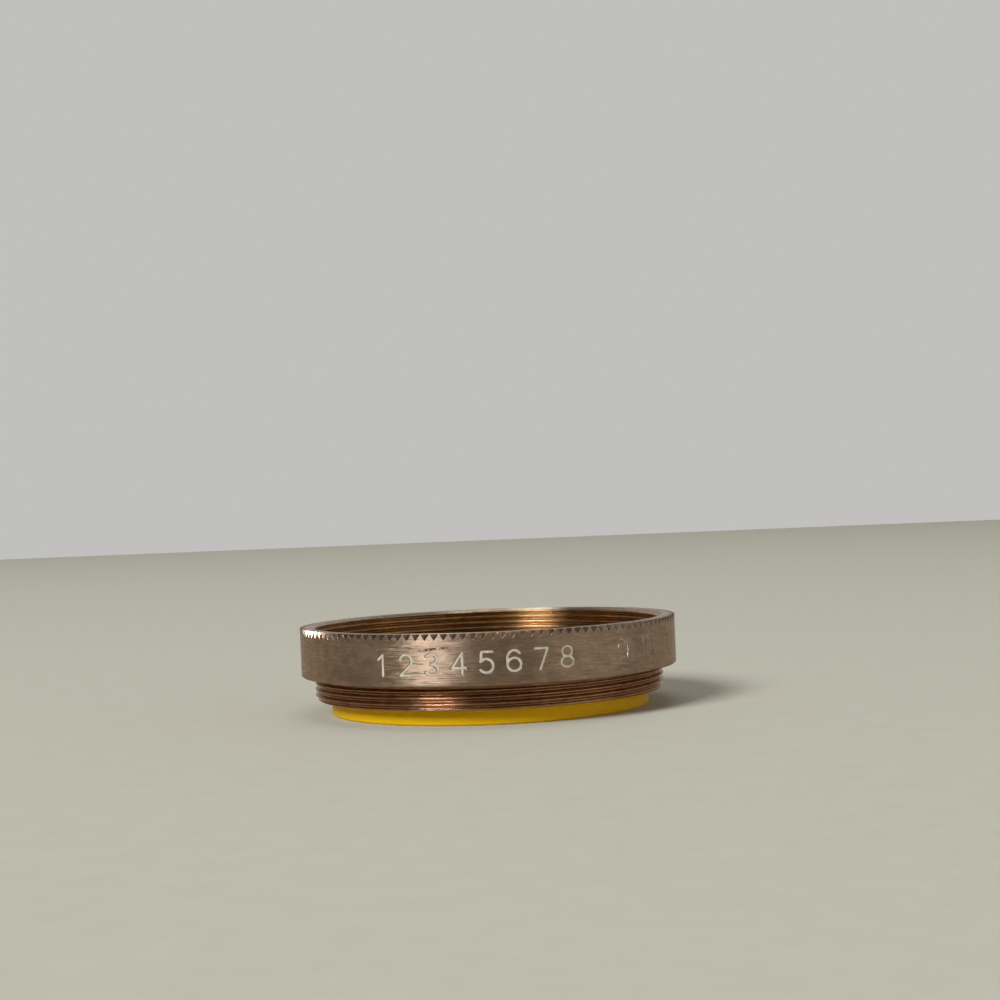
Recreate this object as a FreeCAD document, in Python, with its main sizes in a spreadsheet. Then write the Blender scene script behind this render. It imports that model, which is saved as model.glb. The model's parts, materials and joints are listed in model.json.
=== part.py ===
import FreeCAD, Part
import os

import Sketcher

# Screw-in camera lens filter for a 29.5 mm thread: a turned and serrated
# ring, a stepped amber glass, and the ring that clamps the glass in its seat.
# The filter stands on its glass, so z = 0 is the rear face of the glass.
# The axis is Z with the front of the filter up, and lengths are millimetres.
# The threads are left as plain cylinders, the spigot at its crests and the
# socket at its bore.

SIZES = {
    # the ring
    "ThreadDiameter": 29.5,
    "ThreadHeight": 0.27,
    "ShoulderWidth": 1.125,
    "ShoulderChamfer": 0.15,
    "BodyLength": 4.05,
    "SpigotLength": 2.0,
    "SpigotChamfer": 0.25,
    "ReliefWidth": 0.35,
    "ReliefDepth": 0.35,
    "SocketDepth": 2.1,
    "SeatStep": 0.28,
    "LipWidth": 0.7,
    "LipChamfer": 0.15,
    # the serrations on the upper edge of the ring
    "NotchPitch": 0.755,
    "NotchLeg": 0.5,
    "NotchAngle": 90,
    # the glass
    "FlangeThickness": 0.8,
    "GlassProud": 1.3,
    "GlassBevel": 0.12,
    # the ring that clamps the glass
    "RetainerWidth": 0.97,
    "RetainerThickness": 0.8,
    "RetainerBevel": 0.3,
    "RetainerEdge": 0.1,
    "SlotWidth": 1.2,
    "SlotDepth": 0.4,
    "SlotCount": 2,
    # what is left free between the pieces
    "GlassClearance": 0.1,
    "RetainerClearance": 0.03,
    "RetainerRecess": 0.1,
}

# Radii, all counted outward or inward from the radius of the thread.
SPIGOT_RADIUS = "Sizes.ThreadDiameter / 2"
OUTER_RADIUS = SPIGOT_RADIUS + " + Sizes.ShoulderWidth"
RELIEF_RADIUS = SPIGOT_RADIUS + " - Sizes.ReliefDepth"
SOCKET_RADIUS = SPIGOT_RADIUS + " - Sizes.ThreadHeight"
SEAT_RADIUS = SOCKET_RADIUS + " - Sizes.SeatStep"
LIP_RADIUS = SEAT_RADIUS + " - Sizes.LipWidth"
FLANGE_RADIUS = SEAT_RADIUS + " - Sizes.GlassClearance"
BOSS_RADIUS = LIP_RADIUS + " - Sizes.GlassClearance"
RETAINER_RADIUS = SEAT_RADIUS + " - Sizes.RetainerClearance"
RETAINER_BORE_RADIUS = RETAINER_RADIUS + " - Sizes.RetainerWidth"

# Heights in the ring, from the end of its spigot.
SHOULDER = "Sizes.SpigotLength"
RELIEF_START = SHOULDER + " - Sizes.ReliefWidth"
RIM = SHOULDER + " + Sizes.BodyLength"
SOCKET_END = RIM + " - Sizes.SocketDepth"
RETAINER_FRONT = SOCKET_END + " - Sizes.RetainerRecess"
RETAINER_REAR = RETAINER_FRONT + " - Sizes.RetainerThickness"
SEAT = RETAINER_REAR + " - Sizes.FlangeThickness"

# Heights in the glass, from its rear face, where the filter stands.
FLANGE_REAR = "Sizes.GlassProud + " + SEAT
FLANGE_FRONT = "Sizes.GlassProud + " + RETAINER_REAR

NOTCH_COUNT = "floor(2 * pi * (" + OUTER_RADIUS + ") / Sizes.NotchPitch)"

TOUCH = 1e-4
FULL_TURN = 360


def make_sheet(document):
    """Puts each size in the sheet, with its name as the alias."""
    sheet = document.addObject("Spreadsheet::Sheet", "Sizes")
    for row, (name, value) in enumerate(SIZES.items(), start=1):
        sheet.set(f"A{row}", name)
        sheet.set(f"B{row}", str(value))
        sheet.setAlias(f"B{row}", name)
    document.recompute()


def make_body(document, name, height):
    """An empty body that stands at this height in the filter."""
    body = document.addObject("PartDesign::Body", name)
    body.Label = name
    if height:
        body.setExpression("Placement.Base.z", height)
    return body


def origin_feature(body, role):
    """The origin plane or axis of the body that has this role."""
    matching = [item for item in body.Origin.OriginFeatures if item.Role == role]
    return matching[0]


def new_sketch(body, name, role):
    sketch = body.newObject("Sketcher::SketchObject", name)
    sketch.AttachmentSupport = (origin_feature(body, role), [""])
    sketch.MapMode = "FlatFace"
    return sketch


def place_point(sketch, line, across, up):
    """Ties the start of a line to a distance and a height from the origin.

    Both are expressions on the sheet, and None keeps the point on the axis.
    """
    if across is None:
        sketch.addConstraint(Sketcher.Constraint("PointOnObject", line, 1, -2))
    else:
        index = sketch.addConstraint(Sketcher.Constraint("DistanceX", -1, 1, line, 1, 1.0))
        sketch.setExpression(f"Constraints[{index}]", across)
    if up is None:
        sketch.addConstraint(Sketcher.Constraint("PointOnObject", line, 1, -1))
    else:
        index = sketch.addConstraint(Sketcher.Constraint("DistanceY", -1, 1, line, 1, 1.0))
        sketch.setExpression(f"Constraints[{index}]", up)


def draw_outline(sketch, points):
    """Draws straight lines through the points, closed and fully tied."""
    count = len(points)
    rough = [FreeCAD.Vector(1 + number, number * number, 0) for number in range(count)]
    for line in range(count):
        sketch.addGeometry(Part.LineSegment(rough[line], rough[(line + 1) % count]), False)
    for line in range(count):
        sketch.addConstraint(Sketcher.Constraint("Coincident", line, 2, (line + 1) % count, 1))
    for line, (across, up) in enumerate(points):
        place_point(sketch, line, across, up)


def turn(body, kind, name, points):
    """Turns an outline round the axis, to add it or to cut it away."""
    sketch = new_sketch(body, name + "Outline", "XZ_Plane")
    draw_outline(sketch, points)
    feature = body.newObject("PartDesign::" + kind, name)
    feature.Profile = sketch
    feature.ReferenceAxis = (sketch, ["V_Axis"])
    feature.Angle = FULL_TURN
    body.Document.recompute()


def circles_at(body, radius, height):
    """The names of the body's round edges of this radius at this height."""
    wanted_radius = float(body.evalExpression(radius))
    wanted_height = float(body.evalExpression(height)) if height else 0.0
    names = []
    for number, edge in enumerate(body.Tip.Shape.Edges, start=1):
        if not isinstance(edge.Curve, Part.Circle):
            continue
        radius_off = abs(edge.Curve.Radius - wanted_radius)
        height_off = abs(edge.Curve.Center.z - wanted_height)
        if radius_off < TOUCH and height_off < TOUCH:
            names.append(f"Edge{number}")
    return names


def bevel(body, name, size, radius, height):
    """Breaks the round edge at this place with a 45 degree chamfer."""
    names = circles_at(body, radius, height)
    base = body.Tip
    feature = body.newObject("PartDesign::Chamfer", name)
    feature.Base = (base, names)
    feature.setExpression("Size", size)
    body.Document.recompute()


def repeat_round_axis(body, feature, name, count):
    pattern = body.newObject("PartDesign::PolarPattern", name)
    pattern.Originals = [feature]
    pattern.Axis = (origin_feature(body, "Z_Axis"), [""])
    pattern.Angle = FULL_TURN
    pattern.setExpression("Occurrences", count)
    body.Tip = pattern
    body.Document.recompute()


def cut_serrations(ring):
    """Cuts V notches across the upper edge of the ring, at 45 degrees.

    The sketch's origin is the middle of the bottom line of one notch, its X
    runs along the edge and its Y points out and up, away from the edge.
    """
    sketch = new_sketch(ring, "NotchOutline", "XY_Plane")
    along_edge = FreeCAD.Vector(0, 1, 0)
    out_and_up = FreeCAD.Vector(1, 0, 1).normalize()
    out_and_down = FreeCAD.Vector(1, 0, -1).normalize()
    tilt = FreeCAD.Rotation(along_edge, out_and_up, out_and_down, "ZXY")
    sketch.AttachmentOffset = FreeCAD.Placement(FreeCAD.Vector(0, 0, 0), tilt)
    sketch.setExpression("AttachmentOffset.Base.x", OUTER_RADIUS + " - Sizes.NotchLeg / 2")
    sketch.setExpression("AttachmentOffset.Base.z", RIM + " - Sizes.NotchLeg / 2")
    half_width = "Sizes.NotchLeg * tan(Sizes.NotchAngle / 2)"
    draw_outline(sketch, [
        (None, None),
        (half_width, "Sizes.NotchLeg"),
        ("-" + half_width, "Sizes.NotchLeg"),
    ])
    notch = ring.newObject("PartDesign::Pocket", "Notch")
    notch.Profile = sketch
    notch.SideType = "Symmetric"
    notch.setExpression("Length", "2 * Sizes.NotchLeg")
    ring.Document.recompute()
    repeat_round_axis(ring, notch, "Serrations", NOTCH_COUNT)


def make_filter_ring(document):
    """The frame of the filter: socket in front, threaded spigot behind."""
    ring = make_body(document, "filter_ring", "Sizes.GlassProud")
    turn(ring, "Revolution", "Section", [
        (LIP_RADIUS, None),
        (SPIGOT_RADIUS, None),
        (SPIGOT_RADIUS, SHOULDER),
        (OUTER_RADIUS, SHOULDER),
        (OUTER_RADIUS, RIM),
        (SOCKET_RADIUS, RIM),
        (SOCKET_RADIUS, SOCKET_END),
        (SEAT_RADIUS, SOCKET_END),
        (SEAT_RADIUS, SEAT),
        (LIP_RADIUS, SEAT),
    ])
    bevel(ring, "ShoulderBevel", "Sizes.ShoulderChamfer", OUTER_RADIUS, SHOULDER)
    bevel(ring, "MouthBevel", "Sizes.ThreadHeight", SOCKET_RADIUS, RIM)
    bevel(ring, "LeadIn", "Sizes.SpigotChamfer", SPIGOT_RADIUS, None)
    bevel(ring, "LipBevel", "Sizes.LipChamfer", LIP_RADIUS, None)
    turn(ring, "Groove", "ThreadRelief", [
        (RELIEF_RADIUS, RELIEF_START),
        (OUTER_RADIUS, RELIEF_START),
        (OUTER_RADIUS, SHOULDER),
        (RELIEF_RADIUS, SHOULDER),
    ])
    cut_serrations(ring)
    # a tooth, and not a notch, lies on the axes of the filter
    ring.setExpression("Placement.Rotation.Angle", "180 / " + NOTCH_COUNT)
    return ring


def make_filter_glass(document):
    """One stepped disc: a flange in the seat and a boss through the spigot."""
    glass = make_body(document, "filter_glass", None)
    turn(glass, "Revolution", "Disc", [
        (None, None),
        (BOSS_RADIUS, None),
        (BOSS_RADIUS, FLANGE_REAR),
        (FLANGE_RADIUS, FLANGE_REAR),
        (FLANGE_RADIUS, FLANGE_FRONT),
        (None, FLANGE_FRONT),
    ])
    bevel(glass, "RearBevel", "Sizes.GlassBevel", BOSS_RADIUS, None)
    bevel(glass, "FrontBevel", "Sizes.GlassBevel", FLANGE_RADIUS, FLANGE_FRONT)
    return glass


def make_retaining_ring(document):
    """The threaded ring over the glass, with slots for a spanner."""
    retainer = make_body(document, "retaining_ring", FLANGE_FRONT)
    front = "Sizes.RetainerThickness"
    turn(retainer, "Revolution", "Band", [
        (RETAINER_BORE_RADIUS, None),
        (RETAINER_RADIUS, None),
        (RETAINER_RADIUS, front),
        (RETAINER_BORE_RADIUS, front),
    ])
    bevel(retainer, "ApertureBevel", "Sizes.RetainerBevel", RETAINER_BORE_RADIUS, front)
    bevel(retainer, "FrontEdge", "Sizes.RetainerEdge", RETAINER_RADIUS, front)
    bevel(retainer, "RearEdge", "Sizes.RetainerEdge", RETAINER_RADIUS, None)

    sketch = new_sketch(retainer, "SlotOutline", "YZ_Plane")
    half_width = "Sizes.SlotWidth / 2"
    floor = front + " - Sizes.SlotDepth"
    draw_outline(sketch, [
        ("-" + half_width, floor),
        (half_width, floor),
        (half_width, front + " + Sizes.SlotDepth"),
        ("-" + half_width, front + " + Sizes.SlotDepth"),
    ])
    slot = retainer.newObject("PartDesign::Pocket", "Slot")
    slot.Profile = sketch
    slot.Reversed = True
    slot.setExpression("Length", SEAT_RADIUS)
    document.recompute()
    repeat_round_axis(retainer, slot, "Slots", "Sizes.SlotCount")
    return retainer


def check_document(document, bodies):
    """Stops the build where a feature failed or a shape isn't sound."""
    document.recompute()
    for item in document.Objects:
        if "Invalid" in item.State or "Error" in item.State:
            raise RuntimeError(item.Name + " failed to compute")
    for body in bodies:
        if body.Shape.isNull() or not body.Shape.isValid():
            raise RuntimeError(body.Label + " has no sound shape")
        if len(body.Shape.Solids) != 1:
            raise RuntimeError(body.Label + " isn't one solid")


def main():
    document = FreeCAD.newDocument("LensFilter")
    make_sheet(document)
    bodies = [
        make_filter_ring(document),
        make_filter_glass(document),
        make_retaining_ring(document),
    ]
    check_document(document, bodies)
    os.makedirs("parts", exist_ok=True)
    for body in bodies:
        body.Shape.exportStep("parts/" + body.Label + ".step")
        print(body.Label, "volume", round(body.Shape.Volume, 3), body.Shape.BoundBox)


main()
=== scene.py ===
import json
import math

import bpy
import numpy as np
from mathutils import Matrix, Vector


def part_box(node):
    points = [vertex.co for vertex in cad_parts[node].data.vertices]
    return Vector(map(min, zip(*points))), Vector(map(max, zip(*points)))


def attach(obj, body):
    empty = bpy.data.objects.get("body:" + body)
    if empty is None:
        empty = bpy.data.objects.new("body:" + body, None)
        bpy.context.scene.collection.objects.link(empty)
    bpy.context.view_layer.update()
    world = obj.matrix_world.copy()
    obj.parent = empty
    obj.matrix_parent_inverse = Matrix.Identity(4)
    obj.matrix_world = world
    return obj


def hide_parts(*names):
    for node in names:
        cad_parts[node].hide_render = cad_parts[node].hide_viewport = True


# The dressed lens filter: the ring with its threads, serrations and engraved
# figures, the amber glass and the ring that clamps it, on a pale floor.
# Lengths are millimetres, as in the solids, and become metres where a mesh or
# the camera is made. Only the floor and the lamps are set out in metres. Angles
# round the ring are counted from the front, where the camera stands, and grow
# towards the right.

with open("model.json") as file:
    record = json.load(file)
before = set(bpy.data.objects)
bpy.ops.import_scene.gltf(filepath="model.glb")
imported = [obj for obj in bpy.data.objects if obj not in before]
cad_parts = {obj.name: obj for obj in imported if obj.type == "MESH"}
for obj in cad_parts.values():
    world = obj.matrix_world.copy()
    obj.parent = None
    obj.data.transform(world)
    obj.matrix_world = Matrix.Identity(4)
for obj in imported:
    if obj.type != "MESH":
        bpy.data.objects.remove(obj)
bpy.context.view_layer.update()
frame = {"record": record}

MM = 0.001
FULL_TURN = 2 * math.pi

# how finely a plain round piece is divided, and the angle that makes an edge sharp
ROUND_COLUMNS = 360
SHARP_ANGLE = math.radians(30)


def node_reach(node):
    """The outer radius, the lowest and the highest height of a CAD node."""
    low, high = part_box(node)
    return high.x / MM, low.z / MM, high.z / MM


def mount_radius(name):
    """The radius that the record states for a round mount."""
    matching = [mount for mount in frame["record"]["mounts"] if mount["name"] == name]
    return matching[0]["dims"]["r_mm"]


# the reach of each piece, as the solids have it
OUTER_RADIUS, SPIGOT_END, RIM = node_reach("filter_ring")
FLANGE_RADIUS, GLASS_REAR, GLASS_FRONT = node_reach("filter_glass")
RETAINER_RADIUS, RETAINER_REAR, RETAINER_FRONT = node_reach("retaining_ring")
SPIGOT_RADIUS = mount_radius("rear_thread")
SOCKET_RADIUS = mount_radius("front_thread")

# sizes that the solids are made from
BODY_LENGTH = 4.05
SHOULDER_CHAMFER = 0.15
SPIGOT_CHAMFER = 0.25
RELIEF_WIDTH = 0.35
RELIEF_DEPTH = 0.35
SOCKET_DEPTH = 2.1
SEAT_STEP = 0.28
LIP_WIDTH = 0.7
LIP_CHAMFER = 0.15
FLANGE_THICKNESS = 0.8
GLASS_CLEARANCE = 0.1
GLASS_BEVEL = 0.12
RETAINER_WIDTH = 0.97
RETAINER_BEVEL = 0.3
RETAINER_EDGE = 0.1
SLOT_WIDTH = 1.2
SLOT_DEPTH = 0.4

SHOULDER = RIM - BODY_LENGTH
RELIEF_START = SHOULDER - RELIEF_WIDTH
SOCKET_END = RIM - SOCKET_DEPTH
SEAT = RETAINER_REAR - FLANGE_THICKNESS
SEAT_RADIUS = SOCKET_RADIUS - SEAT_STEP
LIP_RADIUS = SEAT_RADIUS - LIP_WIDTH
BOSS_RADIUS = LIP_RADIUS - GLASS_CLEARANCE

# the threads, 60 degrees and right-handed: each profile goes once through a
# turn, as the share of the pitch and the share of the depth that is cut away,
# and starts at the front at the height of a crest
THREAD_PITCH = 0.5
SPIGOT_THREAD_DEPTH = 0.307
SPIGOT_THREAD = [
    (0.0, 0.0), (0.125, 0.0), (0.3, 0.5), (0.48, 0.98), (0.56, 1.0), (0.65, 0.98), (0.82, 0.5),
]
SPIGOT_CREST = RIM - 4.55
SOCKET_THREAD_DEPTH = 0.27
SOCKET_THREAD = [
    (0.0, 0.0), (0.25, 0.0), (0.41, 0.5), (0.56, 0.98), (0.62, 1.0), (0.69, 0.98), (0.84, 0.5),
]
SOCKET_CREST = RIM - 0.5

# how far down the mouth of the socket the lighter rim finish reaches: worn metal, lightened further as
# a painted highlight for the rim's glint and pale line
MOUTH_WEAR_AND_GLINT = 0.9 * SOCKET_THREAD_DEPTH

# the serrations: each notch has three columns of points, the middle one at its bottom
NOTCH_COUNT = 132
COLUMNS_PER_NOTCH = 3
BOTTOM_COLUMN = 1
NOTCH_LEG = 0.5
NOTCH_HALF_ANGLE = math.asin(NOTCH_LEG / math.sqrt(2) / OUTER_RADIUS)
NOTCH_LEAN = -0.05 / OUTER_RADIUS

# the engraved figures, in order: text, angle of the first and from one to the next
FILLED_FIGURES = ("12345678", math.radians(-31.6), math.radians(7.72))
BARE_FIGURES = ("9 10 11", math.radians(41.5), math.radians(4.3))
FIGURE_HEIGHT = 1.59
FIGURE_BASE = RIM - 3.03
FIGURE_CLIMB = 0.26
FIGURE_MARGIN = 0.35
STROKE_HALF_WIDTH = 0.13
STROKE_SLOPE = 0.05
STROKE_DEPTH = 0.09
PAINT_RECESS = 0.055

# the row of nicks above the third figure: angle and height of its middle, and its size
SCUFF_PLACE = (math.radians(-15.4), RIM - 1.13)
SCUFF_LENGTH = 2.7
SCUFF_WIDTH = 0.22
SCUFF_DEPTH = 4.0
SCUFF_SLOPE = 0.08
SCUFF_COLOUR = (0.035, 0.022, 0.014, 1)

# how much smoother metal is where it is worn, and its colour at a grazing angle
BURNISHING = 0.12
GRAZING_TINT = (0.78, 0.70, 0.62, 1)

# the length and the width of the marks that turning and grinding left
FINE_MARK = (1.1, 0.10)
BROAD_MARK = (4.0, 0.5)
ROW_MARK = (1.6, 0.07)
GROUND_MARK = (0.8, 0.06)

# where nearly all the values of a noise texture lie, and how many rays look for
# an edge or a groove beside a point
NOISE_RANGE = (0.3, 0.7)
EDGE_SAMPLES = 6

# the fine grid of the engraving: its cell, how near a point lies to the edge of
# a stroke, in cells, to be drawn onto it, and the band of wall that holds it
ENGRAVING_CELL = 0.038
DRAWN_WITHIN = 0.45
NO_DISTANCE = 1e-6
BAND_LOW = RIM - 3.72
BAND_HIGH = RIM - 0.62

# the groups of faces, numbered as the materials of the ring and of the glass
BODY, INSIDE, ENGRAVED, NOTCHED, THREADED, RIM_WEAR_AND_GLINT, FILLED = range(7)
POLISHED, GROUND = range(2)

# the camera, as fitted to the edges of the ring in the photograph
CAMERA_DISTANCE = 149.76
CAMERA_ELEVATION = math.radians(3.676)
CAMERA_ROLL = math.radians(-2.320)
CAMERA_PAN = math.radians(-0.417)
CAMERA_TILT = math.radians(-3.895)
FOCAL_PIXELS = 1753.7
IMAGE_PIXELS = 1000
SENSOR_WIDTH = 36.0

# how many metres the lamps stand from the filter, and their colours
LAMP_DISTANCE = 2.5
KEY_COLOUR = (0.94, 0.99, 1.05)
SOFT_WHITE = (1.0, 0.99, 0.97)

# how far back a direction points where metal and glass begin to see the
# backdrop, and where they see nothing else
BACKDROP_EDGE = (0.3, 0.7)


class Shell:
    """The points and faces of one closed skin round the axis, in mm."""

    def __init__(self):
        self.points = []
        self.faces = []
        self.groups = []
        self.group = 0

    def point(self, radius, angle, height):
        """Adds a point, at an angle counted from the front."""
        x = radius * math.sin(angle)
        y = -radius * math.cos(angle)
        self.points.append((x, y, height))
        return len(self.points) - 1

    def ring(self, angles, radius, height):
        """Adds a point at each angle. Radius and height may differ along the ring."""
        radii = np.broadcast_to(radius, len(angles))
        heights = np.broadcast_to(height, len(angles))
        return [self.point(r, a, z) for r, a, z in zip(radii, angles, heights)]

    def face(self, *corners):
        """Adds a face in the current group, less the corners that repeat."""
        kept = [c for number, c in enumerate(corners) if c != corners[number - 1]]
        if len(set(kept)) > 2:
            self.faces.append(kept)
            self.groups.append(self.group)

    def join(self, first, second, skipped=()):
        """Faces between two rings, apart from the columns that are skipped."""
        for column in range(len(first)):
            if column in skipped:
                continue
            after = (column + 1) % len(first)
            self.face(first[column], first[after], second[after], second[column])

    def zip_chains(self, near, far, near_marks, far_marks):
        """Triangles between two open chains whose points lie differently."""
        i = k = 0
        while i < len(near) - 1 or k < len(far) - 1:
            near_first = k == len(far) - 1
            if i < len(near) - 1 and not near_first:
                near_first = near_marks[i + 1] <= far_marks[k + 1]
            if near_first:
                self.face(near[i], near[i + 1], far[k])
                i += 1
            else:
                self.face(near[i], far[k + 1], far[k])
                k += 1

    def piece(self, name, materials):
        """Makes the object, in metres, with sharp edges where it turns."""
        mesh = bpy.data.meshes.new(name)
        mesh.from_pydata([Vector(p) * MM for p in self.points], [], self.faces)
        for material in materials:
            mesh.materials.append(material)
        mesh.polygons.foreach_set("material_index", self.groups)
        mesh.shade_smooth()
        mesh.set_sharp_from_angle(angle=SHARP_ANGLE)
        mesh.validate()
        made = bpy.data.objects.new(name, mesh)
        bpy.context.scene.collection.objects.link(made)
        return made


def even_angles(count):
    """Angles once round the ring, from the back on the left to the back again."""
    return [FULL_TURN * (number / count - 0.5) for number in range(count)]


def turned_shell(profile, columns):
    """Turns a closed profile of radii and heights round the axis."""
    shell = Shell()
    angles = even_angles(columns)
    rings = [shell.ring(angles, radius, height) for radius, height in profile]
    for number in range(len(rings)):
        shell.join(rings[number - 1], rings[number])
    return shell


# The figures, drawn with the middle line of a round cutter. Each is a list of
# strokes, and each stroke a list of points in a box of height 1.

FIGURE_WIDTH = 0.66
MIDDLE = FIGURE_WIDTH / 2


def line(*points):
    return list(points)


def arc(centre, radii, start, end, steps=18):
    """Points along an arc, from one angle in degrees to another."""
    turns = [math.radians(start + (end - start) * step / steps) for step in range(steps + 1)]
    return [(centre[0] + radii[0] * math.cos(t), centre[1] + radii[1] * math.sin(t)) for t in turns]


def turned_over(strokes):
    """The strokes after half a turn, which makes a nine of a six."""
    return [[(FIGURE_WIDTH - x, 1 - y) for x, y in stroke] for stroke in strokes]


SIX = [
    arc((MIDDLE, 0.32), (0.33, 0.32), 0, 360),
    arc((MIDDLE, 0.64), (0.33, 0.36), 180, 38),
    line((0.0, 0.32), (0.0, 0.64)),
]
FIGURES = {
    "0": [
        arc((MIDDLE, 0.67), (0.33, 0.33), 0, 180) + arc((MIDDLE, 0.33), (0.33, 0.33), 180, 360),
        line((FIGURE_WIDTH, 0.33), (FIGURE_WIDTH, 0.67)),
    ],
    "1": [line((0.13, 0.79), (0.38, 1.0), (0.38, 0.0))],
    "2": [arc((MIDDLE, 0.68), (0.32, 0.32), 165, -35) + [(0.02, 0.0), (FIGURE_WIDTH, 0.0)]],
    "3": [
        arc((MIDDLE, 0.755), (0.28, 0.245), 150, -90),
        arc((MIDDLE, 0.255), (0.33, 0.255), 90, -150),
    ],
    "4": [line((0.5, 0.0), (0.5, 1.0), (0.0, 0.29), (FIGURE_WIDTH, 0.29))],
    "5": [line((0.6, 1.0), (0.1, 1.0), (0.05, 0.53)) + arc((0.31, 0.33), (0.34, 0.33), 132, -145)],
    "6": SIX,
    "7": [line((0.02, 1.0), (FIGURE_WIDTH, 1.0), (0.26, 0.0))],
    "8": [
        arc((MIDDLE, 0.755), (0.27, 0.245), 0, 360),
        arc((MIDDLE, 0.255), (0.33, 0.255), 0, 360),
    ],
    "9": turned_over(SIX),
}


def figure_segments(text, first, step):
    """The start and the end of every straight bit of the figures, in mm.

    Across is the length along the wall from the front, and up is the height.
    """
    starts, ends = [], []
    for number, character in enumerate(text):
        if character == " ":
            continue
        angle = first + step * number
        corner = np.array([
            OUTER_RADIUS * angle - MIDDLE * FIGURE_HEIGHT,
            FIGURE_BASE + FIGURE_CLIMB * angle,
        ])
        for stroke in FIGURES[character]:
            points = corner + FIGURE_HEIGHT * np.array(stroke)
            starts.append(points[:-1])
            ends.append(points[1:])
    return np.concatenate(starts), np.concatenate(ends)


def nearest_on_segments(points, starts, ends):
    """For each point, the nearest place on the segments and how far it is."""
    nearest = np.array(points)
    distance = np.full(len(points), np.inf)
    for start, end in zip(starts, ends):
        along = end - start
        share = np.clip((points - start) @ along / (along @ along), 0, 1)
        place = start + share[:, None] * along
        length = np.linalg.norm(points - place, axis=1)
        closer = length < distance
        nearest[closer] = place[closer]
        distance[closer] = length[closer]
    return nearest, distance


def engraved_grid(left, right, low, high, figures):
    """A fine grid on the wall with its points drawn onto the strokes' edges.

    Gives the places, along the wall and up it, and each one's distance from
    the middle of the nearest stroke.
    """
    columns = round((right - left) / ENGRAVING_CELL)
    rows = round((high - low) / ENGRAVING_CELL)
    across = np.linspace(left, right, columns)
    up = np.linspace(low, high, rows)
    places = np.stack(np.meshgrid(across, up), axis=-1).reshape(-1, 2)
    nearest, distance = nearest_on_segments(places, *figure_segments(*figures))
    outward = (places - nearest) / np.maximum(distance, NO_DISTANCE)[:, None]
    for edge in (STROKE_HALF_WIDTH, STROKE_HALF_WIDTH - STROKE_SLOPE):
        drawn = np.abs(distance - edge) < DRAWN_WITHIN * ENGRAVING_CELL
        places[drawn] = nearest[drawn] + edge * outward[drawn]
        distance[drawn] = edge
    return places.reshape(rows, columns, 2), distance.reshape(rows, columns)


def grid_triangles(depth):
    """Index pairs for two triangles a cell, split where the depth changes least."""
    rows, columns = depth.shape
    triangles = []
    for row in range(rows - 1):
        for column in range(columns - 1):
            a, b = (row, column), (row, column + 1)
            c, d = (row + 1, column + 1), (row + 1, column)
            if abs(depth[a] - depth[c]) <= abs(depth[b] - depth[d]):
                triangles += [(a, b, c), (a, c, d)]
            else:
                triangles += [(a, b, d), (b, c, d)]
    return triangles


def groove_depth(distance):
    """How deep the cut is at this distance from the middle of its stroke."""
    share = np.clip((STROKE_HALF_WIDTH - distance) / STROKE_SLOPE, 0, 1)
    return STROKE_DEPTH * share


def engrave(shell, angles, low_ring, high_ring, figures, group):
    """Fills the wall's opening at these figures with a skin that holds them.

    The faces within the strokes go in the group. Gives the columns that the skin
    takes up, the places of its points and the triangles within the strokes.
    """
    starts, ends = figure_segments(*figures)
    reach = np.concatenate([starts, ends])
    left, bottom = reach.min(axis=0) - FIGURE_MARGIN
    right, top = reach.max(axis=0) + FIGURE_MARGIN
    along_wall = [angle * OUTER_RADIUS for angle in angles]
    first = max(n for n, mark in enumerate(along_wall) if mark < left - ENGRAVING_CELL)
    last = min(n for n, mark in enumerate(along_wall) if mark > right + ENGRAVING_CELL)
    places, distance = engraved_grid(left, right, bottom, top, figures)
    depth = groove_depth(distance)
    rows, columns = depth.shape
    ids = np.zeros((rows, columns), int)
    for row in range(rows):
        for column in range(columns):
            across, up = places[row, column]
            radius = OUTER_RADIUS - depth[row, column]
            ids[row, column] = shell.point(radius, across / OUTER_RADIUS, up)
    triangles = grid_triangles(depth)
    within = [t for t in triangles if all(distance[corner] <= STROKE_HALF_WIDTH for corner in t)]
    cut = set(within)
    for triangle in triangles:
        shell.group = group if triangle in cut else BODY
        shell.face(*(ids[corner] for corner in triangle))
    shell.group = BODY

    marks = along_wall[first:last + 1]
    coarse_low, coarse_high = low_ring[first:last + 1], high_ring[first:last + 1]
    shell.zip_chains(coarse_low, list(ids[0]), marks, places[0, :, 0])
    shell.zip_chains(list(ids[-1]), coarse_high, places[-1, :, 0], marks)
    ends_of_band = (shell.points[low_ring[0]][2], shell.points[high_ring[0]][2])
    left_side = [low_ring[first], high_ring[first]]
    right_side = [low_ring[last], high_ring[last]]
    shell.zip_chains(list(ids[:, 0]), left_side, places[:, 0, 1], ends_of_band)
    shell.zip_chains(right_side, list(ids[:, -1]), ends_of_band, places[:, -1, 1])

    return range(first, last), places, within


def thread_cut(profile, share):
    """The share of the thread's depth that is cut away at a share of a turn."""
    shares = [point[0] for point in profile] + [1.0]
    cuts = [point[1] for point in profile] + [profile[0][1]]
    return np.interp(share % 1.0, shares, cuts)


def thread_ring(shell, angles, height, crest, profile, radius_at):
    """The ring of points where a thread stops at a level height."""
    radii = []
    for angle in angles:
        cut = thread_cut(profile, (height - crest) / THREAD_PITCH - angle / FULL_TURN)
        radii.append(radius_at(height, cut))
    return shell.ring(angles, radii, height)


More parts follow.
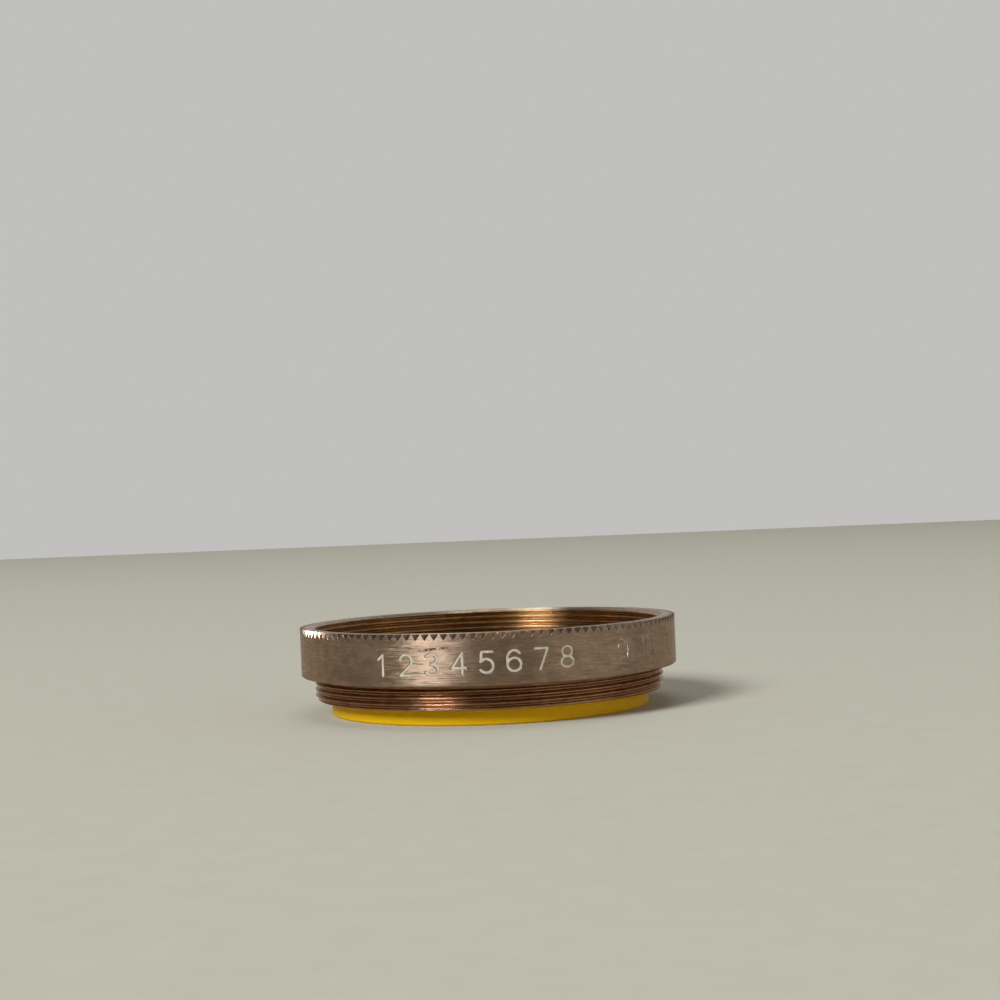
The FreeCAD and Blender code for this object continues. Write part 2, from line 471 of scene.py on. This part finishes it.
def add_thread(shell, angles, low, high, crest, profile, radius_at, inward):
    """Skins a thread with rows that climb along it, between two level heights.

    Gives the rings at its low and its high end.
    """
    low_ring = thread_ring(shell, angles, low, crest, profile, radius_at)
    high_ring = thread_ring(shell, angles, high, crest, profile, radius_at)
    per_turn = len(profile)
    known = {}

    def corner(row, column):
        if column == len(angles):
            row, column = row + per_turn, 0
        turn, step = divmod(row, per_turn)
        share, cut = profile[step]
        height = crest + THREAD_PITCH * (turn + share + angles[column] / FULL_TURN)
        if height <= low:
            return low_ring[column]
        if height >= high:
            return high_ring[column]
        if (row, column) not in known:
            known[row, column] = shell.point(radius_at(height, cut), angles[column], height)
        return known[row, column]

    # whole turns that reach past both ends, as each row climbs by one pitch
    first_turn = math.floor((low - crest) / THREAD_PITCH) - 2
    last_turn = math.ceil((high - crest) / THREAD_PITCH) + 1
    for row in range(first_turn * per_turn, last_turn * per_turn):
        for column in range(len(angles)):
            around = [
                corner(row, column), corner(row, column + 1),
                corner(row + 1, column + 1), corner(row + 1, column),
            ]
            shell.face(*(reversed(around) if inward else around))
    return low_ring, high_ring


def spigot_radius_at(height, cut):
    """The radius where the thread is cut to this share, within the lead-in."""
    lead_in = SPIGOT_RADIUS - SPIGOT_CHAMFER + height - SPIGOT_END
    return min(SPIGOT_RADIUS - SPIGOT_THREAD_DEPTH * cut, lead_in)


def socket_radius_at(height, cut):
    """The radius where the thread is cut to this share, outside the bevelled mouth."""
    mouth = SOCKET_RADIUS + SOCKET_THREAD_DEPTH + height - RIM
    return max(SOCKET_RADIUS + SOCKET_THREAD_DEPTH * cut, mouth)


def notch_angles():
    """Three columns a notch: its left corner, its bottom and its right corner."""
    pitch = FULL_TURN / NOTCH_COUNT
    angles = []
    for number in range(NOTCH_COUNT):
        middle = pitch * (number + 0.5) - FULL_TURN / 2
        angles += [middle - NOTCH_HALF_ANGLE, middle, middle + NOTCH_HALF_ANGLE]
    return angles


def rounded_corner(radius, height, size, steps=4):
    """Radii and heights round the outer lower corner of a wall."""
    turns = [math.pi / 2 * step / steps for step in range(steps + 1)]
    return [
        (radius - size + size * math.sin(turn), height + size - size * math.cos(turn))
        for turn in turns
    ]


def build_ring_shell():
    """The whole ring as one closed skin.

    Gives the skin, and the places and triangles of the strokes that hold paint.
    """
    shell = Shell()
    angles = notch_angles()

    shell.group = INSIDE
    lip_inner = shell.ring(angles, LIP_RADIUS, SPIGOT_END + LIP_CHAMFER)
    lip_edge = shell.ring(angles, LIP_RADIUS + LIP_CHAMFER, SPIGOT_END)
    shell.join(lip_inner, lip_edge)
    shell.group = THREADED
    foot, neck = add_thread(
        shell, angles, SPIGOT_END, RELIEF_START, SPIGOT_CREST, SPIGOT_THREAD, spigot_radius_at, False
    )
    shell.join(lip_edge, foot)
    relief_low = shell.ring(angles, SPIGOT_RADIUS - RELIEF_DEPTH, RELIEF_START)
    relief_high = shell.ring(angles, SPIGOT_RADIUS - RELIEF_DEPTH, SHOULDER)
    shell.join(neck, relief_low)
    shell.join(relief_low, relief_high)

    shell.group = BODY
    below = relief_high
    for radius, height in rounded_corner(OUTER_RADIUS, SHOULDER, SHOULDER_CHAMFER):
        above = shell.ring(angles, radius, height)
        shell.join(below, above)
        below = above
    band_low = shell.ring(angles, OUTER_RADIUS, BAND_LOW)
    band_high = shell.ring(angles, OUTER_RADIUS, BAND_HIGH)
    shell.join(below, band_low)
    band = (shell, angles, band_low, band_high)
    filled_columns, places, within = engrave(*band, FILLED_FIGURES, FILLED)
    bare_columns, _, _ = engrave(*band, BARE_FIGURES, ENGRAVED)
    shell.join(band_low, band_high, skipped=set(filled_columns) | set(bare_columns))

    wall_top, face_edge = [], []
    for column, angle in enumerate(angles):
        if column % COLUMNS_PER_NOTCH == BOTTOM_COLUMN:
            wall_top.append(shell.point(OUTER_RADIUS, angle + NOTCH_LEAN, RIM - NOTCH_LEG))
            face_edge.append(shell.point(OUTER_RADIUS - NOTCH_LEG, angle - NOTCH_LEAN, RIM))
        else:
            corner = shell.point(OUTER_RADIUS, angle, RIM)
            wall_top.append(corner)
            face_edge.append(corner)
    shell.join(band_high, wall_top)
    shell.group = NOTCHED
    shell.join(wall_top, face_edge)

    shell.group = INSIDE
    first_inside = len(shell.faces)
    socket_floor, mouth = add_thread(
        shell, angles, SOCKET_END, RIM, SOCKET_CREST, SOCKET_THREAD, socket_radius_at, True
    )
    for number in range(first_inside, len(shell.faces)):
        lowest = min(shell.points[corner][2] for corner in shell.faces[number])
        if lowest > RIM - MOUTH_WEAR_AND_GLINT:
            shell.groups[number] = RIM_WEAR_AND_GLINT
    shell.group = RIM_WEAR_AND_GLINT
    shell.join(face_edge, mouth)
    shell.group = INSIDE
    seat_top = shell.ring(angles, SEAT_RADIUS, SOCKET_END)
    seat_low = shell.ring(angles, SEAT_RADIUS, SEAT)
    seat_inner = shell.ring(angles, LIP_RADIUS, SEAT)
    shell.join(socket_floor, seat_top)
    shell.join(seat_top, seat_low)
    shell.join(seat_low, seat_inner)
    shell.join(seat_inner, lip_inner)
    return shell, places, within


def build_paint_shell(places, triangles):
    """The paint in the filled figures: a thin solid on the floor of each stroke."""
    shell = Shell()
    tops, floors = {}, {}
    for triangle in triangles:
        for corner in triangle:
            if corner not in tops:
                across, up = places[corner]
                angle = across / OUTER_RADIUS
                tops[corner] = shell.point(OUTER_RADIUS - PAINT_RECESS, angle, up)
                floors[corner] = shell.point(OUTER_RADIUS - STROKE_DEPTH, angle, up)
    sides = set()
    for a, b, c in triangles:
        shell.face(tops[a], tops[b], tops[c])
        shell.face(floors[c], floors[b], floors[a])
        for edge in ((a, b), (b, c), (c, a)):
            if edge[::-1] in sides:
                sides.remove(edge[::-1])
            else:
                sides.add(edge)
    for a, b in sides:
        shell.face(floors[a], floors[b], tops[b], tops[a])
    return shell


def build_glass_shell():
    """The stepped disc, with its side faces ground and its two ends polished."""
    shell = Shell()
    angles = even_angles(ROUND_COLUMNS)
    profile = [
        (BOSS_RADIUS - GLASS_BEVEL, GLASS_REAR),
        (BOSS_RADIUS, GLASS_REAR + GLASS_BEVEL),
        (BOSS_RADIUS, SEAT),
        (FLANGE_RADIUS - GLASS_BEVEL, SEAT),
        (FLANGE_RADIUS, SEAT + GLASS_BEVEL),
        (FLANGE_RADIUS, GLASS_FRONT - GLASS_BEVEL),
        (FLANGE_RADIUS - GLASS_BEVEL, GLASS_FRONT),
    ]
    rings = [shell.ring(angles, radius, height) for radius, height in profile]
    shell.group = GROUND
    for below, above in zip(rings, rings[1:]):
        shell.join(below, above)
    shell.group = POLISHED
    shell.face(*reversed(rings[0]))
    shell.face(*rings[-1])
    return shell


def build_retainer_shell():
    """The clamping ring, before its slots are cut."""
    inner = RETAINER_RADIUS - RETAINER_WIDTH
    return turned_shell([
        (inner + RETAINER_EDGE, RETAINER_REAR),
        (RETAINER_RADIUS - RETAINER_EDGE, RETAINER_REAR),
        (RETAINER_RADIUS, RETAINER_REAR + RETAINER_EDGE),
        (RETAINER_RADIUS, RETAINER_FRONT - RETAINER_EDGE),
        (RETAINER_RADIUS - RETAINER_EDGE, RETAINER_FRONT),
        (inner + RETAINER_BEVEL, RETAINER_FRONT),
        (inner, RETAINER_FRONT - RETAINER_BEVEL),
        (inner, RETAINER_REAR + RETAINER_EDGE),
    ], ROUND_COLUMNS)


def cut_spanner_slots(ring):
    """Cuts the two slots for a spanner across the front of the clamping ring."""
    shell = Shell()
    bottom = RETAINER_FRONT - SLOT_DEPTH
    top = RETAINER_FRONT + SLOT_DEPTH
    half_length = RETAINER_RADIUS + 1
    half_width = SLOT_WIDTH / 2
    corners = [(-half_length, -half_width), (half_length, -half_width)]
    corners += [(half_length, half_width), (-half_length, half_width)]
    shell.points = [(x, y, z) for z in (bottom, top) for x, y in corners]
    shell.face(3, 2, 1, 0)
    shell.face(4, 5, 6, 7)
    for number in range(4):
        after = (number + 1) % 4
        shell.face(number, after, after + 4, number + 4)
    bar = shell.piece("slot_cutter", [])
    cut = ring.modifiers.new("slots", "BOOLEAN")
    cut.object = bar
    cut.solver = "EXACT"
    state = bpy.context.evaluated_depsgraph_get()
    whole, ring.data = ring.data, bpy.data.meshes.new_from_object(ring.evaluated_get(state))
    ring.modifiers.clear()
    ring.data.set_sharp_from_angle(angle=SHARP_ANGLE)
    bpy.data.objects.remove(bar)
    bpy.data.meshes.remove(whole)


class Graph:
    """The nodes of a new material or world, with short ways to add and link them."""

    def __init__(self, owner):
        self.owner = owner
        owner.use_nodes = True
        self.tree = owner.node_tree
        self.tree.nodes.clear()

    def add(self, kind, inputs=None, **settings):
        """Adds a node. An input is a number, a colour or another node's socket."""
        node = self.tree.nodes.new(kind)
        for name, value in settings.items():
            setattr(node, name, value)
        for name, value in (inputs or {}).items():
            if isinstance(value, bpy.types.NodeSocket):
                self.tree.links.new(value, node.inputs[name])
            else:
                node.inputs[name].default_value = value
        return node

    def math(self, operation, first, second=0.0, clamp=False):
        inputs = {0: first, 1: second}
        return self.add("ShaderNodeMath", inputs, operation=operation, use_clamp=clamp).outputs[0]

    def vector(self, operation, *operands, result="Vector"):
        """Vector math. The result of a dot product or a length is its Value."""
        inputs = dict(enumerate(operands))
        return self.add("ShaderNodeVectorMath", inputs, operation=operation).outputs[result]

    def scaled(self, vector, factor):
        inputs = {0: vector, "Scale": factor}
        return self.add("ShaderNodeVectorMath", inputs, operation="SCALE").outputs[0]

    def blend(self, share, first, second):
        """Mixes two colours."""
        inputs = {0: share, 6: first, 7: second}
        return self.add("ShaderNodeMix", inputs, data_type="RGBA").outputs[2]

    def span(self, value, low, high, to_low=0.0, to_high=1.0):
        """Maps a value from one range to another and stops at its ends."""
        inputs = {0: value, 1: low, 2: high, 3: to_low, 4: to_high}
        return self.add("ShaderNodeMapRange", inputs, clamp=True).outputs[0]

    def noise(self, place, scale, detail=2.0, roughness=0.5):
        """A noise texture. On plain places, its scale is in features a metre."""
        inputs = {"Vector": place, "Scale": scale, "Detail": detail, "Roughness": roughness}
        return self.add("ShaderNodeTexNoise", inputs).outputs[0]

    def place(self):
        """The point in the row frame, in metres."""
        return self.add("ShaderNodeTexCoord").outputs["Object"]

    def turned_place(self, along, across):
        """A place that draws a texture out along the turning marks.

        Both numbers are the size in mm of one mark.
        """
        place = self.place()
        parts = self.add("ShaderNodeSeparateXYZ", {0: place})
        flat = self.vector("MULTIPLY", place, (1, 1, 0))
        radius = self.vector("LENGTH", flat, result="Value")
        run = self.math("ADD", radius, parts.outputs["Z"])
        return self.add("ShaderNodeCombineXYZ", {
            0: self.math("MULTIPLY", parts.outputs["X"], 1 / (along * MM)),
            1: self.math("MULTIPLY", parts.outputs["Y"], 1 / (along * MM)),
            2: self.math("MULTIPLY", run, 1 / (across * MM)),
        }).outputs[0]

    def soft_normal(self, size):
        """The normal as if each edge were rounded by this many mm."""
        return self.add("ShaderNodeBevel", {"Radius": size * MM}, samples=EDGE_SAMPLES).outputs[0]

    def edge_mask(self, size):
        """1 on a sharp edge and 0 on the faces beside it."""
        normal = self.add("ShaderNodeNewGeometry").outputs["Normal"]
        facing = self.vector("DOT_PRODUCT", self.soft_normal(size), normal, result="Value")
        return self.span(facing, 1.0, 0.9)

    def openness(self, reach):
        """1 on open faces and less in grooves that are about this many mm wide."""
        inputs = {"Distance": reach * MM}
        settings = {"samples": EDGE_SAMPLES, "only_local": True}
        return self.add("ShaderNodeAmbientOcclusion", inputs, **settings).outputs["AO"]

    def bump(self, height, size, normal):
        """A normal for a relief whose height, from 0 to 1, stands for this many mm."""
        inputs = {"Strength": 1.0, "Distance": size * MM, "Height": height, "Normal": normal}
        return self.add("ShaderNodeBump", inputs).outputs[0]

    def finish(self, shader, output="ShaderNodeOutputMaterial"):
        self.add(output, {"Surface": shader})
        return self.owner


def brushed_metal(
    name, light, dark, grime_and_shade, edge, roughness, streak_depth,
    anisotropy=0.9, rounding=0.04, wear_reach=0.05, coat=0.1, uneven=0.12, sway=0.0, scuffed=False,
):
    """Anodised metal, turned on a lathe, worn light on its edges, with grime and painted shade in its
    grooves.

    Streak depth, rounding and wear reach are mm. Uneven is how much the roughness
    varies from row to row, and sway how far the normal leans along the rows.
    """
    graph = Graph(bpy.data.materials.new(name))
    patches = graph.noise(graph.place(), 1100, detail=4.0, roughness=0.6)
    fine = graph.noise(graph.turned_place(*FINE_MARK), 1.0, detail=3.0, roughness=0.6)
    broad = graph.noise(graph.turned_place(*BROAD_MARK), 1.0, detail=2.0)
    colour = graph.blend(graph.span(patches, 0.38, 0.62), dark, light)
    shade = graph.span(fine, *NOISE_RANGE, 0.80, 1.18)
    shade = graph.math("MULTIPLY", shade, graph.span(broad, *NOISE_RANGE, 0.92, 1.08))
    colour = graph.scaled(colour, shade)
    # grooves and hollows blend towards the grime colour by ambient occlusion: grime and painted shade
    groove_shade_and_grime = graph.span(graph.openness(0.45), 0.75, 0.25)
    colour = graph.blend(graph.math("MULTIPLY", groove_shade_and_grime, 0.75), colour, grime_and_shade)
    wear = graph.math("MULTIPLY", graph.edge_mask(wear_reach), graph.span(broad, 0.25, 0.6, 0.15, 0.8))
    colour = graph.blend(wear, colour, edge)
    if scuffed:
        colour = graph.blend(scuff_mask(graph), colour, SCUFF_COLOUR)
    rows = graph.noise(graph.turned_place(*ROW_MARK), 1.0, detail=2.0, roughness=0.7)
    rough = graph.span(rows, *NOISE_RANGE, roughness - uneven, roughness + uneven)
    rough = graph.math("SUBTRACT", rough, graph.math("MULTIPLY", wear, BURNISHING), clamp=True)
    tangent = graph.add("ShaderNodeTangent", direction_type="RADIAL", axis="Z").outputs[0]
    soft_normal = graph.soft_normal(rounding)
    normal = graph.bump(fine, streak_depth, soft_normal)
    if sway:
        lean = graph.scaled(tangent, graph.span(rows, *NOISE_RANGE, -sway, sway))
        normal = graph.vector("NORMALIZE", graph.vector("ADD", normal, lean))
    shader = graph.add("ShaderNodeBsdfPrincipled", {
        "Base Color": colour,
        "Metallic": 1.0,
        "Specular Tint": GRAZING_TINT,
        "Roughness": rough,
        "Anisotropic": anisotropy,
        "Anisotropic Rotation": 0.25,
        "Coat Weight": coat,
        "Coat Roughness": 0.2,
        "Coat IOR": 1.6,
        "Coat Normal": soft_normal,
        "Normal": normal,
        "Tangent": tangent,
    })
    return graph.finish(shader.outputs[0])


def scuff_mask(graph):
    """The short row of dark nicks above the third figure: 1 on a nick, 0 elsewhere."""
    angle, height = SCUFF_PLACE
    centre = Vector((math.sin(angle) * OUTER_RADIUS, -math.cos(angle) * OUTER_RADIUS, height)) * MM
    sideways = Vector((math.cos(angle), math.sin(angle), 0))
    outward = Vector((math.sin(angle), -math.cos(angle), 0))
    along = sideways * (2 / (SCUFF_LENGTH * MM))
    across = (Vector((0, 0, 1)) - SCUFF_SLOPE * sideways) * (2 / (SCUFF_WIDTH * MM))
    inward = outward * (2 / (SCUFF_DEPTH * MM))
    offset = graph.vector("SUBTRACT", graph.place(), centre)
    reach = []
    for axis in (along, across, inward):
        run = graph.vector("DOT_PRODUCT", offset, axis, result="Value")
        reach.append(graph.math("POWER", graph.math("ABSOLUTE", run), 2.0))
    far = graph.math("ADD", graph.math("ADD", reach[0], reach[1]), reach[2])
    inside = graph.span(far, 1.0, 0.6)
    nicks = graph.span(graph.noise(graph.place(), 4400, detail=3.0, roughness=0.7), 0.43, 0.52)
    return graph.math("MULTIPLY", inside, nicks)


def paint_material():
    """Cream filling paint, in patches of slightly differing tone."""
    graph = Graph(bpy.data.materials.new("filling_paint"))
    patches = graph.noise(graph.place(), 2600, detail=3.0)
    colour = graph.blend(graph.span(patches, 0.35, 0.65), (0.50, 0.415, 0.29, 1), (0.65, 0.56, 0.42, 1))
    shader = graph.add("ShaderNodeBsdfPrincipled", {
        "Base Color": colour,
        "Roughness": graph.span(patches, *NOISE_RANGE, 0.45, 0.65),
        "Normal": graph.bump(patches, 0.01, graph.add("ShaderNodeNewGeometry").outputs["Normal"]),
    })
    return graph.finish(shader.outputs[0])


def polished_glass():
    """Glass dyed in the mass, with a trace of dust on its faces."""
    graph = Graph(bpy.data.materials.new("amber_polished"))
    dust = graph.noise(graph.place(), 1500, detail=6.0, roughness=0.7)
    clean = graph.add("ShaderNodeBsdfPrincipled", {
        "Base Color": (0.99, 0.73, 0.04, 1),
        "Roughness": graph.span(dust, 0.45, 0.75, 0.01, 0.06),
        "IOR": 1.52,
        "Transmission Weight": 1.0,
    }).outputs[0]
    return graph.finish(clean)


def ground_glass():
    """The same glass where it was ground: matt, with fine marks round its side."""
    graph = Graph(bpy.data.materials.new("amber_ground"))
    marks = graph.noise(graph.turned_place(*GROUND_MARK), 1.0, detail=3.0)
    colour = graph.blend(marks, (0.76, 0.43, 0.0, 1), (0.87, 0.52, 0.0, 1))
    shader = graph.add("ShaderNodeBsdfPrincipled", {
        "Base Color": colour,
        "Roughness": graph.span(marks, *NOISE_RANGE, 0.35, 0.55),
        "IOR": 1.52,
        "Specular IOR Level": 0.06,
        "Transmission Weight": 0.15,
        "Normal": graph.bump(marks, 0.006, graph.add("ShaderNodeNewGeometry").outputs["Normal"]),
    })
    return graph.finish(shader.outputs[0])


def stage_material():
    """Plain pale paper, in a very faint grain."""
    graph = Graph(bpy.data.materials.new("pale_paper"))
    grain = graph.noise(graph.place(), 400, detail=2.0)
    colour = graph.blend(grain, (0.585, 0.55, 0.435, 1), (0.635, 0.60, 0.485, 1))
    shader = graph.add("ShaderNodeBsdfPrincipled", {"Base Color": colour, "Roughness": 0.85})
    return graph.finish(shader.outputs[0])


def build_floor():
    """A plain floor, in metres, that ends at the backdrop behind the filter."""
    half_width, near, far = 2.0, -1.0, 0.74
    level = -0.02 * MM
    corners = [
        (-half_width, near, level), (half_width, near, level),
        (half_width, far, level), (-half_width, far, level),
    ]
    mesh = bpy.data.meshes.new("floor")
    mesh.from_pydata(corners, [], [(0, 1, 2, 3)])
    mesh.materials.append(stage_material())
    floor = bpy.data.objects.new("floor", mesh)
    bpy.context.scene.collection.objects.link(floor)


def add_lamp(name, azimuth, elevation, spread, level, colour):
    """A soft oblong lamp that faces the filter.

    Azimuth is counted from the front. Spread is the angle that the lamp takes
    up across and up, and level is how bright it makes a white card that faces it.
    """
    a, e = math.radians(azimuth), math.radians(elevation)
    out = Vector((math.sin(a) * math.cos(e), -math.cos(a) * math.cos(e), math.sin(e)))
    lamp = bpy.data.lights.new(name, "AREA")
    lamp.shape = "RECTANGLE"
    lamp.size, lamp.size_y = [2 * LAMP_DISTANCE * math.tan(math.radians(angle) / 2) for angle in spread]
    lamp.energy = level * (math.pi * LAMP_DISTANCE) ** 2
    lamp.color = colour
    held = bpy.data.objects.new(name, lamp)
    turned = out.to_track_quat("Z", "Y").to_matrix().to_4x4()
    held.matrix_world = Matrix.Translation(out * LAMP_DISTANCE) @ turned
    held.visible_camera = False
    bpy.context.scene.collection.objects.link(held)


def light_world(bright_side, dimmest, brightest, colour, backdrop):
    """A plain grey surround that grows paler towards one side.

    The camera sees a backdrop of one level in its place. Metal and glass see
    that level too, in the directions that lead behind the filter.
    """
    graph = Graph(bpy.data.worlds.new("studio"))
    direction = graph.add("ShaderNodeTexCoord").outputs["Generated"]
    towards = graph.vector("DOT_PRODUCT", direction, Vector(bright_side).normalized(), result="Value")
    surround = graph.span(towards, -1.0, 1.0, dimmest, brightest)
    backwards = graph.add("ShaderNodeSeparateXYZ", {0: direction}).outputs["Y"]
    behind = graph.span(backwards, *BACKDROP_EDGE)
    ray = graph.add("ShaderNodeLightPath").outputs
    mirrored = graph.math("MAXIMUM", ray["Is Glossy Ray"], ray["Is Transmission Ray"])
    seen = graph.math("MAXIMUM", ray["Is Camera Ray"], graph.math("MULTIPLY", mirrored, behind))
    strength = graph.add("ShaderNodeMix", {0: seen, 2: surround, 3: backdrop}).outputs[0]
    background = graph.add("ShaderNodeBackground", {"Color": colour, "Strength": strength})
    bpy.context.scene.world = graph.finish(background.outputs[0], "ShaderNodeOutputWorld")


def add_camera():
    """The camera, placed and turned as fitted to the photograph."""
    e = CAMERA_ELEVATION
    right = Vector((1, 0, 0))
    forward = Vector((0, math.cos(e), -math.sin(e)))
    level = Matrix((right, forward.cross(right), forward))
    turned = Matrix.Rotation(CAMERA_TILT, 3, "X")
    turned = turned @ Matrix.Rotation(CAMERA_PAN, 3, "Y")
    turned = turned @ Matrix.Rotation(CAMERA_ROLL, 3, "Z") @ level
    axes = Matrix((turned[0], -turned[1], -turned[2])).transposed()
    centre = Vector((0, 0, RIM))
    place = (centre - CAMERA_DISTANCE * forward) * MM
    lens = bpy.data.cameras.new("photo_camera")
    lens.sensor_width = SENSOR_WIDTH
    lens.lens = SENSOR_WIDTH * FOCAL_PIXELS / IMAGE_PIXELS
    lens.clip_start = 0.001
    camera = bpy.data.objects.new("photo_camera", lens)
    camera.matrix_world = Matrix.Translation(place) @ axes.to_4x4()
    bpy.context.scene.collection.objects.link(camera)
    bpy.context.scene.camera = camera


def show(piece, node):
    """Ties a piece to the body, and hides the node that it stands for."""
    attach(piece, "root")
    if node:
        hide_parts(node)


body_metal = brushed_metal(
    "body_metal", light=(0.39, 0.265, 0.185, 1), dark=(0.31, 0.215, 0.15, 1),
    grime_and_shade=(0.08, 0.045, 0.025, 1), edge=(0.74, 0.62, 0.51, 1), roughness=0.40, streak_depth=0.010,
    rounding=0.028, coat=0.03, uneven=0.15, sway=0.10, scuffed=True,
)
# the top face and the mouth: worn metal, and lighter than wear alone as a painted highlight on the
# rim's glint and pale line
rim_metal = brushed_metal(
    "rim_metal", light=(0.60, 0.51, 0.42, 1), dark=(0.47, 0.39, 0.31, 1),
    grime_and_shade=(0.10, 0.06, 0.035, 1), edge=(0.82, 0.76, 0.68, 1), roughness=0.36, streak_depth=0.004,
    wear_reach=0.07, coat=0.0,
)
# darker and more golden than the body metal: painted shade and coloured bounce light inside the bore
inner_metal = brushed_metal(
    "inner_metal", light=(0.48, 0.28, 0.125, 1), dark=(0.37, 0.21, 0.08, 1),
    grime_and_shade=(0.19, 0.085, 0.02, 1), edge=(0.50, 0.33, 0.18, 1), roughness=0.35, streak_depth=0.003,
    rounding=0.08, wear_reach=0.05, coat=0.2,
)
# darker and redder than the body metal: painted shade and bounce light on the thread below the body
thread_metal = brushed_metal(
    "thread_metal", light=(0.43, 0.22, 0.11, 1), dark=(0.32, 0.155, 0.07, 1),
    grime_and_shade=(0.16, 0.065, 0.025, 1), edge=(0.62, 0.43, 0.31, 1), roughness=0.32, streak_depth=0.003,
    rounding=0.05, wear_reach=0.05, coat=0.05,
)
notch_metal = brushed_metal(
    "notch_metal", light=(0.41, 0.29, 0.205, 1), dark=(0.32, 0.22, 0.15, 1),
    grime_and_shade=(0.07, 0.04, 0.02, 1), edge=(0.60, 0.50, 0.41, 1), roughness=0.24, streak_depth=0.001,
    anisotropy=0.0, rounding=0.01, wear_reach=0.03, coat=0.0, uneven=0.03,
)
engraved_metal = brushed_metal(
    "engraved_metal", light=(0.56, 0.47, 0.36, 1), dark=(0.42, 0.35, 0.26, 1),
    grime_and_shade=(0.16, 0.11, 0.07, 1), edge=(0.62, 0.53, 0.42, 1), roughness=0.50, streak_depth=0.003,
    coat=0.0,
)
# the walls of the filled strokes, in a dark brown: painted shade that outlines each figure
groove_shade_metal = brushed_metal(
    "groove_shade_metal", light=(0.16, 0.115, 0.08, 1), dark=(0.11, 0.075, 0.05, 1),
    grime_and_shade=(0.06, 0.035, 0.02, 1), edge=(0.22, 0.17, 0.125, 1), roughness=0.45, streak_depth=0.003,
    rounding=0.01, wear_reach=0.01, coat=0.0,
)

ring_shell, figure_places, figure_triangles = build_ring_shell()
ring_metals = [
    body_metal, inner_metal, engraved_metal, notch_metal, thread_metal, rim_metal, groove_shade_metal,
]
show(ring_shell.piece("turned_ring", ring_metals), "filter_ring")

paint_shell = build_paint_shell(figure_places, figure_triangles)
show(paint_shell.piece("figure_paint", [paint_material()]), None)

glass = build_glass_shell().piece("amber_disc", [polished_glass(), ground_glass()])
show(glass, "filter_glass")

retainer = build_retainer_shell().piece("clamping_ring", [inner_metal])
cut_spanner_slots(retainer)
show(retainer, "retaining_ring")

build_floor()
light_world(
    bright_side=(0.65, 0.6, -0.8), dimmest=0.02, brightest=0.55,
    colour=(*SOFT_WHITE, 1), backdrop=0.53,
)
add_lamp("key", azimuth=-39, elevation=35, spread=(19, 20), level=0.94, colour=KEY_COLOUR)
add_lamp("ceiling", azimuth=0, elevation=88, spread=(30, 30), level=0.14, colour=SOFT_WHITE)
add_lamp("left_fill", azimuth=-88, elevation=20, spread=(44, 30), level=0.022, colour=SOFT_WHITE)
add_lamp("fill", azimuth=58, elevation=8, spread=(56, 36), level=0.10, colour=SOFT_WHITE)
add_camera()
bpy.context.scene.view_settings.view_transform = "Standard"
